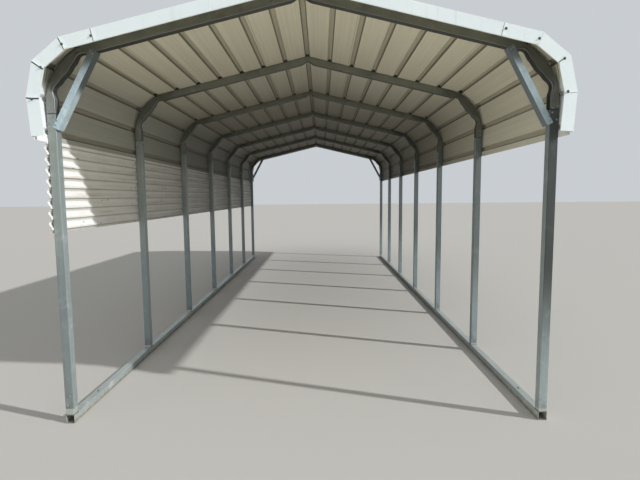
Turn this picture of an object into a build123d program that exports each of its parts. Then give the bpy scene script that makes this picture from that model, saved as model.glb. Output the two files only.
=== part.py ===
from build123d import *
import math
import os

os.makedirs("parts", exist_ok=True)

# Steel tube carport, open at both ends and on the right.
# Units mm.  X across, Y along the length (+Y away from the front), Z up.
# Origin on the ground, in the middle of the plan.

# Driving dimensions
FRAME_COUNT = 7
FRAME_SPACING = 1524.0
POST_CENTRE_X = 1759.0
TUBE = 63.5
TUBE_WALL = 2.0
TUBE_CORNER = 6.0
SLIDE_FIT = 0.3

# bow outline, outer face of the tube
RIDGE_Z = 3088.0
ROOF_SLOPE = 13.4
DIAGONAL_SLOPE = 45.3
DIAGONAL_FLAT = 36.5
BEND_RADIUS = 400.0
BEND_STEP = 7.5
LEG_BELOW_BEND = 65.6
BOW_CHAMFER = 3.6
SLEEVE_DOWN = 150.0
SLEEVE_UP = 60.0
CRIMP_DEPTH = 22.0
CRIMP_HALF_EAVE = 88.0
CRIMP_HALF_SHOULDER = 82.0
CRIMP_HALF_RIDGE = 95.0
CRIMP_BELOW_EAVE = 40.0
SWELL_DEPTH = 12.0
SWELL_HALF = 95.0

# base rails and the stubs welded on them
STUB_HEIGHT = 150.0
FOOT_GAP = 25.0
FOOT_GAP_LEFT_FRONT = 50.0
ANCHOR_INSET = 395.0
ANCHOR_HOLE_R = 11.0

# knee braces, folded channels on the first and last frame
BRACE_BELOW_JOINT = 110.0
BRACE_FOOT_IN = 17.0
BRACE_HEAD_GAP = 3.0
BRACE_ANGLE = 61.3
BRACE_FLANGE = 45.0
BRACE_GAUGE = 2.0
SEAT_GAP = 0.2

# roof sheeting
SHEET = 0.5
LAP_GAP = 0.3
RIB_PITCH = 228.6
RIB_BASE = 48.0
RIB_TOP = 20.0
RIB_HEIGHT = 19.0
SHEET_COVER = 914.4
RIBS_PAST_SLOPE = 3
BEAD_BASE = 15.0
BEAD_TOP = 6.0
BEAD_HEIGHT = 1.2
EDGE_LIP = 12.0
EAVE_LIP = 50.0
FIRST_FLAT_SLOPE = 38.6
SECOND_FLAT_SLOPE = 77.2
LAP_RAMP = 8.0
ROOF_OVERHANG = 182.0
WALL_LAP_ROOM = 1.5

# end trim
TRIM = 0.6
TRIM_FACE = 86.0
TRIM_FLANGE = 60.0
TRIM_HEM = 10.0
TRIM_SHORT = 22.0
TRIM_JOINT = 0.4

# corrugated band on the left side
WALL_SHEETS = 4
WALL_SHEET_LENGTH = 2438.4
WALL_OVERHANG = 50.0
WALL_TUCK = 12.0
WALL_FLAT = 24.0
WAVE_PITCH = 76.2
WAVE_DEPTH = 19.0
WAVE_COUNT = 8.5
WAVE_STEPS = 6

# Derived values
HALF = TUBE / 2
OUTER_X = POST_CENTRE_X + HALF
INNER_X = POST_CENTRE_X - HALF
RUN = FRAME_SPACING * (FRAME_COUNT - 1)
FRAME_Y = [i * FRAME_SPACING - RUN / 2 for i in range(FRAME_COUNT)]
TUBE_BORE = TUBE - 2 * TUBE_WALL
SLEEVE = TUBE_BORE - 2 * SLIDE_FIT
ROOF_END = RUN / 2 + ROOF_OVERHANG


def save(shape, name, colour):
    shape.label = name
    shape.color = Color(*colour)
    export_step(shape, f"parts/{name}.step")


GALVANISED = (0.56, 0.59, 0.60)
WHITE = (0.90, 0.91, 0.90)


# Plane geometry
def offset_line(points, distance):
    """Mitred copy of an open line, shifted to the left of its direction."""
    normals = []
    for a, b in zip(points, points[1:]):
        length = math.hypot(b[0] - a[0], b[1] - a[1])
        normals.append((-(b[1] - a[1]) / length, (b[0] - a[0]) / length))
    result = []
    for i, p in enumerate(points):
        before = normals[max(i - 1, 0)]
        after = normals[min(i, len(normals) - 1)]
        mx = before[0] + after[0]
        my = before[1] + after[1]
        scale = 2 * distance / (mx * mx + my * my)
        result.append((p[0] + mx * scale, p[1] + my * scale))
    return result


def bar(polygon, y_from, y_to):
    """Solid with an X-Z outline, from one Y to another."""
    wire = Polyline(*[(x, y_from, z) for x, z in polygon], close=True)
    return extrude(make_face(wire), amount=abs(y_to - y_from), dir=(0, 1, 0))


def sheet_bar(points, gauge, y_from, y_to):
    """Folded sheet: an open line given a thickness on its left side."""
    outer = offset_line(points, gauge)
    return bar(points + outer[::-1], y_from, y_to)


def tube_outline(size, corner, steps):
    """Square with each corner turned in a few flats, none for a sharp one."""
    if steps == 0:
        return [(sx * size / 2, sy * size / 2) for sx, sy in ((1, 1), (-1, 1), (-1, -1), (1, -1))]
    centre = size / 2 - corner
    points = []
    for quarter in range(4):
        turn = math.radians(90 * quarter)
        cx = centre * math.sqrt(2) * math.cos(turn + math.pi / 4)
        cy = centre * math.sqrt(2) * math.sin(turn + math.pi / 4)
        for i in range(steps + 1):
            angle = turn + math.pi / 2 * i / steps
            points.append((cx + corner * math.cos(angle), cy + corner * math.sin(angle)))
    return points


def square_tube(size, bore, length, steps=0, bore_steps=0):
    """Upright square tube, foot at the origin, corners as its gauge gives."""
    corner = TUBE_CORNER - (TUBE - size) / 2
    bore_corner = TUBE_CORNER - (TUBE - bore) / 2
    outline = make_face(Polyline(*tube_outline(size, corner, steps), close=True))
    hollow = make_face(Polyline(*tube_outline(bore, bore_corner, bore_steps), close=True))
    return extrude(outline - hollow, amount=length)


# Outline of the bow, right half, from the ridge to the leg
slope = math.radians(ROOF_SLOPE)
diagonal = math.radians(DIAGONAL_SLOPE)
SHOULDER_TURN = diagonal - slope
EAVE_TURN = math.pi / 2 - diagonal
SHOULDER_TANGENT = BEND_RADIUS * math.tan(SHOULDER_TURN / 2)
EAVE_TANGENT = BEND_RADIUS * math.tan(EAVE_TURN / 2)
DIAGONAL_LENGTH = SHOULDER_TANGENT + DIAGONAL_FLAT + EAVE_TANGENT
SHOULDER_X = OUTER_X - DIAGONAL_LENGTH * math.cos(diagonal)
SLOPE_RUN = SHOULDER_X / math.cos(slope) - SHOULDER_TANGENT
S_SHOULDER = SLOPE_RUN + BEND_RADIUS * SHOULDER_TURN / 2
S_EAVE = (SLOPE_RUN + BEND_RADIUS * SHOULDER_TURN + DIAGONAL_FLAT
          + BEND_RADIUS * EAVE_TURN / 2)
S_LEG = S_EAVE + BEND_RADIUS * EAVE_TURN / 2


def smooth(s):
    """Point and outward direction on the outline at a run s from the ridge."""
    x = 0.0
    z = RIDGE_Z
    angle = slope
    pieces = (
        (SLOPE_RUN, 0.0),
        (BEND_RADIUS * SHOULDER_TURN, SHOULDER_TURN),
        (DIAGONAL_FLAT, 0.0),
        (BEND_RADIUS * EAVE_TURN, EAVE_TURN),
        (1e6, 0.0),
    )
    left = s
    for length, turn in pieces:
        step = min(left, length)
        if turn:
            sweep = turn * step / length
            x += BEND_RADIUS * (math.sin(angle + sweep) - math.sin(angle))
            z -= BEND_RADIUS * (math.cos(angle) - math.cos(angle + sweep))
            angle += sweep
        else:
            x += step * math.cos(angle)
            z -= step * math.sin(angle)
        left -= step
        if left <= 0:
            break
    return (x, z), (math.sin(angle), math.cos(angle))


def facet_runs():
    """Runs at which the folded outline has its corners."""
    runs = [0.0]
    for start, turn in ((SLOPE_RUN, SHOULDER_TURN), (S_LEG - BEND_RADIUS * EAVE_TURN, EAVE_TURN)):
        count = math.ceil(math.degrees(turn) / BEND_STEP)
        for i in range(count + 1):
            runs.append(start + BEND_RADIUS * turn * i / count)
    runs.append(S_LEG + 2000.0)
    return runs


FACETS = facet_runs()
BOW_JOINT_Z = smooth(S_LEG)[0][1] - LEG_BELOW_BEND


# Bows
CRIMPS = (
    (0.0, CRIMP_HALF_RIDGE),
    (S_SHOULDER, CRIMP_HALF_SHOULDER),
    (S_EAVE + CRIMP_BELOW_EAVE, CRIMP_HALF_EAVE),
)
SWELL_CENTRE = (S_SHOULDER + S_EAVE + CRIMP_BELOW_EAVE) / 2
CRIMP_STEPS = 3
LEAST_STEP = 16.0


def crimp(s):
    """How far the inner wall is pressed in at a run s, less than 0 where it stands fuller."""
    depth = 0.0
    for centre, half in CRIMPS:
        t = abs(s - centre) / half
        if t < 1:
            depth += CRIMP_DEPTH * 0.5 * (1 + math.cos(math.pi * t))
    t = abs(s - SWELL_CENTRE) / SWELL_HALF
    if t < 1:
        depth -= SWELL_DEPTH * 0.5 * (1 + math.cos(math.pi * t))
    return depth


def bow_inner_runs():
    """Runs of the inner wall's corners, the start of the leg among them."""
    runs = [S_LEG]
    for centre, half in CRIMPS:
        for i in range(-CRIMP_STEPS, CRIMP_STEPS + 1):
            run = centre + half * i / CRIMP_STEPS
            if 0 <= run < S_LEG - LEAST_STEP:
                runs.append(run)
    swell = [SWELL_CENTRE + SWELL_HALF * i / CRIMP_STEPS for i in range(-CRIMP_STEPS, CRIMP_STEPS + 1)]
    for run in swell + FACETS[1:-2]:
        if all(abs(run - r) > LEAST_STEP for r in runs):
            runs.append(run)
    return sorted(runs)


def mirrored(half_line):
    """Whole line, left foot to right foot, from its right half."""
    left = [(-x, z) for x, z in half_line[::-1]]
    if abs(half_line[0][0]) < 1e-6:
        left = left[:-1]
    return left + half_line


def make_bow():
    outer_half = [smooth(r)[0] for r in FACETS[:-1]]
    outer_half.append((OUTER_X, BOW_JOINT_Z))
    inner_half = []
    for run in bow_inner_runs():
        (x, z), (nx, nz) = smooth(run)
        depth = TUBE - crimp(run)
        if run < 1e-6:
            inner_half.append((0.0, z - depth / math.cos(slope)))
        else:
            inner_half.append((x - nx * depth, z - nz * depth))
    inner_half.append((INNER_X, BOW_JOINT_Z))
    outer = mirrored(outer_half)
    inner = mirrored(inner_half)
    body = bar(outer + inner[::-1], -HALF, HALF)
    rims = body.faces().filter_by(Axis.Y)
    long_edges = [e for f in rims for e in f.edges() if e.center().Z > BOW_JOINT_Z + 0.01]
    body = chamfer(long_edges, BOW_CHAMFER)
    outer_in = offset_line(outer, -TUBE_WALL)
    inner_in = offset_line(inner, TUBE_WALL)
    hollow = bar(outer_in + inner_in[::-1], TUBE_WALL - HALF, HALF - TUBE_WALL)
    body = body - hollow
    for side in (-1, 1):
        plug = square_tube(TUBE_BORE + 0.2, SLEEVE - 2 * TUBE_WALL, SLEEVE_UP)
        plug = plug.moved(Location((side * POST_CENTRE_X, 0, BOW_JOINT_Z)))
        tail = square_tube(SLEEVE, SLEEVE - 2 * TUBE_WALL, SLEEVE_DOWN + 1, 1)
        tail = tail.moved(Location((side * POST_CENTRE_X, 0, BOW_JOINT_Z - SLEEVE_DOWN)))
        body = body + plug + tail
    return body


bow = make_bow()
for i, y in enumerate(FRAME_Y):
    save(bow.moved(Location((0, y, 0))), f"bow_{i + 1}", GALVANISED)

# Posts
for side, sign in (("left", -1), ("right", 1)):
    for i, y in enumerate(FRAME_Y):
        gap = FOOT_GAP_LEFT_FRONT if (sign < 0 and i == 0) else FOOT_GAP
        foot = TUBE + gap
        post = square_tube(TUBE, TUBE_BORE, BOW_JOINT_Z - foot, 3, 1)
        post = post.moved(Location((sign * POST_CENTRE_X, y, foot)))
        save(post, f"post_{side}_{i + 1}", GALVANISED)

# Base rails with stubs
for side, sign in (("left", -1), ("right", 1)):
    rail_length = RUN + TUBE
    rail = square_tube(TUBE, TUBE_BORE, rail_length, 3, 1)
    rail = rail.rotate(Axis.X, -90)
    rail = rail.moved(Location((sign * POST_CENTRE_X, -rail_length / 2, HALF)))
    for y in FRAME_Y:
        stub = square_tube(SLEEVE, SLEEVE - 2 * TUBE_WALL, STUB_HEIGHT + TUBE_WALL, 1)
        stub = stub.moved(Location((sign * POST_CENTRE_X, y, TUBE - TUBE_WALL)))
        rail = rail + stub
    for end in (-1, 1):
        hole = Cylinder(ANCHOR_HOLE_R, TUBE * 2)
        rail = rail - hole.moved(Location((sign * POST_CENTRE_X, end * (RUN / 2 - ANCHOR_INSET), HALF)))
    save(rail, f"base_rail_{side}", GALVANISED)

# Knee braces, from the post up to the underside of the bow's slope
along = (-math.cos(math.radians(BRACE_ANGLE)), math.sin(math.radians(BRACE_ANGLE)))
across = (along[1], -along[0])
foot = (INNER_X - BRACE_FOOT_IN, BOW_JOINT_Z - BRACE_BELOW_JOINT)
under_bow = RIDGE_Z - TUBE / math.cos(slope) - foot[0] * math.tan(slope) - BRACE_HEAD_GAP
brace_length = (under_bow - foot[1]) / (along[1] + along[0] * math.tan(slope))
head = (foot[0] + along[0] * brace_length, foot[1] + along[1] * brace_length)


def strip(depth):
    return [
        foot,
        head,
        (head[0] + across[0] * depth, head[1] + across[1] * depth),
        (foot[0] + across[0] * depth, foot[1] + across[1] * depth),
    ]


inside = HALF + SEAT_GAP
outside = inside + BRACE_GAUGE
brace = bar(strip(BRACE_GAUGE), -outside, outside)
brace = brace + bar(strip(BRACE_FLANGE), -outside, -inside)
brace = brace + bar(strip(BRACE_FLANGE), inside, outside)
for end, y in (("front", FRAME_Y[0]), ("back", FRAME_Y[-1])):
    right = brace.moved(Location((0, y, 0)))
    save(right, f"brace_{end}_right", GALVANISED)
    save(mirror(right, about=Plane.YZ), f"brace_{end}_left", GALVANISED)

# Roof sheets
FIRST_FOLD_RIB = math.ceil(SLOPE_RUN / RIB_PITCH)
RIBS_PER_SIDE = FIRST_FOLD_RIB + RIBS_PAST_SLOPE
RIBS_PER_SHEET = round(SHEET_COVER / RIB_PITCH)
OUTER_LAP = RIBS_PER_SIDE - RIBS_PER_SHEET
INNER_LAP = round(OUTER_LAP / 3)
BEAD_OFFSET = RIB_PITCH / 6
REACH = RIBS_PER_SIDE * RIB_PITCH + RIB_BASE / 2 + EAVE_LIP


def fold_line():
    """Folded inner line of the sheets: (run, x, z) from the ridge to the edge at the eave.

    Each flat is one rib pitch wide and ends at the outer foot of a rib, clear of the bows'
    bends. The last one leans back to the legs.
    """
    run = FIRST_FOLD_RIB * RIB_PITCH + RIB_BASE / 2
    x = run * math.cos(slope)
    z = RIDGE_Z - run * math.sin(slope)
    corners = [(0.0, 0.0, RIDGE_Z), (run, x, z)]
    for fall in (FIRST_FLAT_SLOPE, SECOND_FLAT_SLOPE):
        angle = math.radians(fall)
        run += RIB_PITCH
        x += RIB_PITCH * math.cos(angle)
        z -= RIB_PITCH * math.sin(angle)
        corners.append((run, x, z))
    fall = math.sqrt((REACH - run) ** 2 - (x - OUTER_X) ** 2)
    corners.append((REACH, OUTER_X, z - fall))
    return corners


FOLDS = fold_line()
EDGE_Z = FOLDS[-1][2]


def on_sheets(s):
    """Point and outward direction on the folded line, signed run s."""
    side = -1.0 if s < 0 else 1.0
    run = abs(s)
    for (a, ax, az), (b, bx, bz) in zip(FOLDS, FOLDS[1:]):
        if run <= b:
            break
    part = (run - a) / (b - a)
    x = ax + (bx - ax) * part
    z = az + (bz - az) * part
    return (side * x, z), (side * (az - bz) / (b - a), (bx - ax) / (b - a))


def sheet_profile():
    """Whole roof section as (run, height above the bows), left to right."""
    marks = []
    for k in range(-RIBS_PER_SIDE, RIBS_PER_SIDE + 1):
        centre = k * RIB_PITCH
        marks += [
            (centre - RIB_BASE / 2, 0.0),
            (centre - RIB_TOP / 2, RIB_HEIGHT),
            (centre + RIB_TOP / 2, RIB_HEIGHT),
            (centre + RIB_BASE / 2, 0.0),
        ]
    for k in range(-RIBS_PER_SIDE, RIBS_PER_SIDE):
        middle = (k + 0.5) * RIB_PITCH
        for shift in (-BEAD_OFFSET, BEAD_OFFSET):
            bead = middle + shift
            marks += [
                (bead - BEAD_BASE / 2, 0.0),
                (bead - BEAD_TOP / 2, BEAD_HEIGHT),
                (bead + BEAD_TOP / 2, BEAD_HEIGHT),
                (bead + BEAD_BASE / 2, 0.0),
            ]
    for k in (INNER_LAP, OUTER_LAP):
        for sign in (-1, 1):
            for edge in (-1, 1):
                lip = sign * k * RIB_PITCH + edge * (RIB_BASE / 2 + EDGE_LIP)
                marks.append((lip, 0.0))
                marks.append((lip + edge * LAP_RAMP, 0.0))
    marks += [(-REACH, 0.0), (REACH, 0.0)]
    marks = sorted(set((round(s, 9), h) for s, h in marks))
    return marks


PROFILE = sheet_profile()


def raised_point(s, height):
    (x, z), (nx, nz) = on_sheets(s)
    return (x + nx * height, z + nz * height)


BASE_LINE = [raised_point(s, h) for s, h in PROFILE]
LAP_LINE = offset_line(BASE_LINE, SHEET + LAP_GAP)


def roof_sheet(first_rib, last_rib, over_first, over_last, edge_room=0.0):
    """Inner line of one sheet, lifted where it covers its neighbour."""
    lip = RIB_BASE / 2 + EDGE_LIP
    start = -REACH if first_rib == -RIBS_PER_SIDE else first_rib * RIB_PITCH - lip
    stop = REACH if last_rib == RIBS_PER_SIDE else last_rib * RIB_PITCH + lip
    cover_to = first_rib * RIB_PITCH + lip
    cover_from = last_rib * RIB_PITCH - lip
    tolerance = 1e-3
    points = []
    for (s, h), low, high in zip(PROFILE, BASE_LINE, LAP_LINE):
        if s < start - tolerance or s > stop + tolerance:
            continue
        lifted = (over_first and s <= cover_to + tolerance)
        lifted = lifted or (over_last and s >= cover_from - tolerance)
        if edge_room and s <= start + EAVE_LIP + tolerance:
            low = raised_point(s, edge_room)
        points.append(high if lifted else low)
    return points


LAST = RIBS_PER_SIDE
SHEETS = (
    ("roof_eave_left", -LAST, -OUTER_LAP, False, False, WALL_LAP_ROOM),
    ("roof_slope_left", -OUTER_LAP, -INNER_LAP, True, False, 0.0),
    ("roof_ridge", -INNER_LAP, INNER_LAP, True, True, 0.0),
    ("roof_slope_right", INNER_LAP, OUTER_LAP, False, True, 0.0),
    ("roof_eave_right", OUTER_LAP, LAST, False, False, 0.0),
)
for name, first_rib, last_rib, over_first, over_last, room in SHEETS:
    line = roof_sheet(first_rib, last_rib, over_first, over_last, room)
    save(sheet_bar(line, SHEET, -ROOF_END, ROOF_END), name, WHITE)

# End trim
LAP_TOP = RIB_HEIGHT + 2 * SHEET + LAP_GAP + SEAT_GAP + TRIM
PLAIN_TOP = RIB_HEIGHT + SHEET + SEAT_GAP + TRIM


def trim_corners():
    """Outer line of the trim, parallel to the sheets over the tops of the ribs."""
    seam_run = OUTER_LAP * RIB_PITCH
    runs = [0.0, seam_run] + [f[0] for f in FOLDS[1:-1]] + [REACH - TRIM_SHORT]
    line = mirrored([on_sheets(run)[0] for run in runs])
    over_laps = offset_line(line, LAP_TOP)
    over_ribs = offset_line(line, PLAIN_TOP)
    middle = len(runs) - 1
    corners = []
    for i in range(len(line)):
        lapped = runs[abs(i - middle)] <= OUTER_LAP * RIB_PITCH + 1e-3
        corners.append(over_laps[i] if lapped else over_ribs[i])
    return corners


trim_outer = trim_corners()
trim_inner = offset_line(trim_outer, -TRIM_FACE)
trim_under = offset_line(trim_outer, -TRIM)
trim_hem = offset_line(trim_inner, TRIM)


def drawn_in(line, at_start, at_stop):
    """Copy of a line with its jointed ends drawn back by half the joint."""
    result = list(line)
    ends = []
    if at_start:
        ends.append((0, 1))
    if at_stop:
        ends.append((-1, -2))
    for i, j in ends:
        a = line[i]
        b = line[j]
        part = TRIM_JOINT / 2 / math.dist(a, b)
        result[i] = (a[0] + (b[0] - a[0]) * part, a[1] + (b[1] - a[1]) * part)
    return result


def trim_piece(first, last, y_face, inward):
    """Face, top flange and hem between two corners of the trim line."""
    at_start = first > 0
    at_stop = last < len(trim_outer) - 1
    outer, inner, under, hem_in = [
        drawn_in(line[first:last + 1], at_start, at_stop)
        for line in (trim_outer, trim_inner, trim_under, trim_hem)
    ]

    def span(depth):
        return (y_face, y_face + depth) if inward > 0 else (y_face - depth, y_face)

    face = bar(outer + inner[::-1], *span(TRIM))
    flange = bar(outer + under[::-1], *span(TRIM_FLANGE))
    hem = bar(inner + hem_in[::-1], *span(TRIM_HEM))
    return face + flange + hem


corner_count = len(FOLDS) - 1
final = len(trim_outer) - 1
TRIM_PIECES = (
    ("left", 0, corner_count),
    ("ridge", corner_count, final - corner_count),
    ("right", final - corner_count, final),
)
for end, sign in (("front", -1), ("back", 1)):
    y_face = sign * (ROOF_END + SEAT_GAP + TRIM)
    for name, first, last in TRIM_PIECES:
        save(trim_piece(first, last, y_face, -sign), f"trim_{end}_{name}", WHITE)

# Corrugated side sheets
def wall_line(shift):
    """Inner line of the corrugated sheet, from its top edge down."""
    face = -OUTER_X
    top = EDGE_Z + WALL_TUCK
    middle = top - WALL_FLAT * 2 / 3
    points = [(face, top), (face, middle - WAVE_PITCH / WAVE_STEPS / 2)]
    steps = int(round(WAVE_COUNT * WAVE_STEPS))
    for i in range(1, steps):
        phase = (i + 0.5) / WAVE_STEPS
        fall = 1 - math.cos(2 * math.pi * phase)
        least = 1 - math.cos(math.pi / WAVE_STEPS)
        depth = WAVE_DEPTH * (fall - least) / (2 - 2 * least)
        points.append((face - depth, middle - WAVE_PITCH * phase))
    if shift:
        points = offset_line(points, -shift)
    return points


# lowest sheet end to highest sheet end, laps shared out evenly
wall_run = RUN + 2 * WALL_OVERHANG
wall_step = (wall_run - WALL_SHEET_LENGTH) / (WALL_SHEETS - 1)
for i in range(WALL_SHEETS):
    shift = (SHEET + LAP_GAP) if i % 2 else 0.0
    line = wall_line(shift)
    y0 = -wall_run / 2 + i * wall_step
    sheet = sheet_bar(line, -SHEET, y0, y0 + WALL_SHEET_LENGTH)
    save(sheet, f"wall_sheet_left_{i + 1}", WHITE)
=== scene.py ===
import math
import random
import bmesh
import bpy
from mathutils import Matrix, Vector


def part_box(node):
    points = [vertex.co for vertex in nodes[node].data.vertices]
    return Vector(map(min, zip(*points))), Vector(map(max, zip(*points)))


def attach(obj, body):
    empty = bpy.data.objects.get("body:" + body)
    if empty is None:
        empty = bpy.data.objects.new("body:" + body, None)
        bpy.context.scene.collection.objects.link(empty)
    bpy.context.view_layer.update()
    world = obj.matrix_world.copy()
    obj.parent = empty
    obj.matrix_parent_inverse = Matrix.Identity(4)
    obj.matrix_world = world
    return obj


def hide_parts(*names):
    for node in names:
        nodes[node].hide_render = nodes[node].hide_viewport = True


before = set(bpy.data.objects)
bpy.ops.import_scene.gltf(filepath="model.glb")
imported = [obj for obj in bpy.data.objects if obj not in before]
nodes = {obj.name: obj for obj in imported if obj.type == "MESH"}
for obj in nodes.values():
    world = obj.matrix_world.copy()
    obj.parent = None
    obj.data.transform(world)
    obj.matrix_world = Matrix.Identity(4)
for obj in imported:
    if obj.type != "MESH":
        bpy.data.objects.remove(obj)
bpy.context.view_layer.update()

# Base rails: a length of galvanised square tube on the ground along each side, open at both
# ends. Seven short stubs of narrower tube are welded upright on each, for the posts to slip
# over, and each end has a drilled hole for a ground anchor.
TUBE = 0.0635
TUBE_CORNER = 0.006
STUB = 0.0589
HEART_Z = 1.25  # a height well inside, from which walls look inward or outward


def middle(name, axis):
    """Where the middle of a CAD piece lies along X, Y or Z, which are axes 0, 1 and 2."""
    low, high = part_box(name)
    return (low[axis] + high[axis]) / 2


POST_X = middle("post_right_1", 0)
FRAME_Y = [middle(f"post_right_{i}", 1) for i in range(1, 8)]


def operator(kind, swapped=False):
    """A Python operator that adds a Math node; swapped is for the reflected forms."""
    def run(self, other=0.0):
        pair = (other, self) if swapped else (self, other)
        return self.board.add("ShaderNodeMath", {"operation": kind}, {0: pair[0], 1: pair[1]})
    return run


class Wire:
    """What a node gives, with Python's operators standing for Math nodes."""

    def __init__(self, board, socket):
        self.board = board
        self.socket = socket

    __add__ = __radd__ = operator("ADD")
    __mul__ = __rmul__ = operator("MULTIPLY")
    __sub__ = operator("SUBTRACT")
    __rsub__ = operator("SUBTRACT", True)
    __truediv__ = operator("DIVIDE")
    __mod__ = operator("FLOORED_MODULO")
    __pow__ = operator("POWER")
    __gt__ = operator("GREATER_THAN")
    __lt__ = operator("LESS_THAN")
    __abs__ = operator("ABSOLUTE")
    least = operator("MINIMUM")
    most = operator("MAXIMUM")

    def ramp(self, low, high):
        """0 below low, 1 above high, smooth between."""
        return self.board.add("ShaderNodeMapRange", {"interpolation_type": "SMOOTHSTEP"},
                              {"Value": self, "From Min": low, "From Max": high})

    def band(self, low, full, fading, gone):
        """1 from full to fading, 0 below low and above gone, smooth between."""
        return self.ramp(low, full) * (1 - self.ramp(fading, gone))


class Board:
    """A node tree, with one method that adds a node and returns what it gives."""

    def __init__(self, tree):
        self.tree = tree

    def add(self, kind, settings=None, sockets=None, out=0):
        """Adds a node with its settings, then its sockets' values or links.

        out is the number or name of the output that is wanted, or a few of them. A list of
        links goes into one socket.
        """
        node = self.tree.nodes.new(kind)
        for key, value in (settings or {}).items():
            setattr(node, key, value)
        for key, value in (sockets or {}).items():
            for part in value if isinstance(value, list) else [value]:
                if isinstance(part, Wire):
                    self.tree.links.new(part.socket, node.inputs[key])
                else:
                    node.inputs[key].default_value = part
        if isinstance(out, (tuple, range)):
            return [Wire(self, node.outputs[i]) for i in out]
        return Wire(self, node.outputs[out]) if len(node.outputs) else None

    def split(self, vector):
        """The X, Y and Z of a vector."""
        return self.add("ShaderNodeSeparateXYZ", None, {0: vector}, out=range(3))

    def blend(self, share, below, above):
        """Colour that goes from below to above as share goes from 0 to 1."""
        factor, first, second, result = 0, 6, 7, 2  # the sockets of a Mix node set to colours
        return self.add("ShaderNodeMix", {"data_type": "RGBA"},
                        {factor: share, first: below, second: above}, out=result)


def paint(red, green, blue):
    """A colour written as on a screen, 0 to 255, as the renderer wants it."""
    linear = [c / 255 / 12.92 if c <= 10 else ((c / 255 + 0.055) / 1.055) ** 2.4
              for c in (red, green, blue)]
    return (*linear, 1.0)


class Finish(Board):
    """A surface: its material, and the patterns and layers it is built from."""

    def __init__(self, name):
        self.material = bpy.data.materials.new(name)
        self.material.use_nodes = True
        self.material.node_tree.nodes.clear()
        super().__init__(self.material.node_tree)
        self.place = self.add("ShaderNodeTexCoord", out="Object")

    def coordinates(self):
        """X, Y and Z of a point of the surface, in metres."""
        return self.split(self.place)

    def facing(self):
        """X, Y and Z of the direction in which the surface looks."""
        return self.split(self.add("ShaderNodeTexCoord", out="Normal"))

    def outward(self):
        """Above 0 on walls that look away from the heart of the carport, below 0 on the others."""
        x, _, z = self.coordinates()
        nx, _, nz = self.facing()
        return x * nx + (z - HEART_Z) * nz

    def stretched(self, stretch, shift):
        """Coordinates with stretch features to a metre along X, Y and Z."""
        return self.add("ShaderNodeMapping", None,
                        {"Vector": self.place, "Scale": stretch, "Location": shift})

    def noise(self, stretch, detail=3.0, shift=(0.0, 0.0, 0.0), rough=0.55):
        """Cloudy pattern."""
        return self.add("ShaderNodeTexNoise", None, {
            "Vector": self.stretched(stretch, shift), "Scale": 1.0, "Detail": detail,
            "Roughness": rough})

    def cells(self, stretch, shift=(0.0, 0.0, 0.0), out="Distance"):
        """Cells, as the distance from a cell's middle or as a colour of each cell's own."""
        return self.add("ShaderNodeTexVoronoi", None,
                        {"Vector": self.stretched(stretch, shift), "Scale": 1.0}, out=out)

    def tones(self, share, low, high):
        """Screen colour from low to high as share goes from 0 to 1."""
        return self.blend(share, paint(*low), paint(*high))

    def over(self, colour, *layers):
        """A colour with layers laid over it in turn, each a share and a screen colour."""
        for share, rgb in layers:
            colour = self.blend(share, colour, paint(*rgb))
        return colour

    def skin(self, colour, roughness, metallic, height, depth, strength):
        """Closes the surface; height is its relief and depth how deep that goes in metres."""
        normal = self.add("ShaderNodeBump", None,
                          {"Height": height, "Distance": depth, "Strength": strength})
        shader = self.add("ShaderNodeBsdfPrincipled", None, {
            "Base Color": colour, "Roughness": roughness, "Metallic": metallic, "Normal": normal})
        self.add("ShaderNodeOutputMaterial", None, {"Surface": shader})
        return self.material


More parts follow.
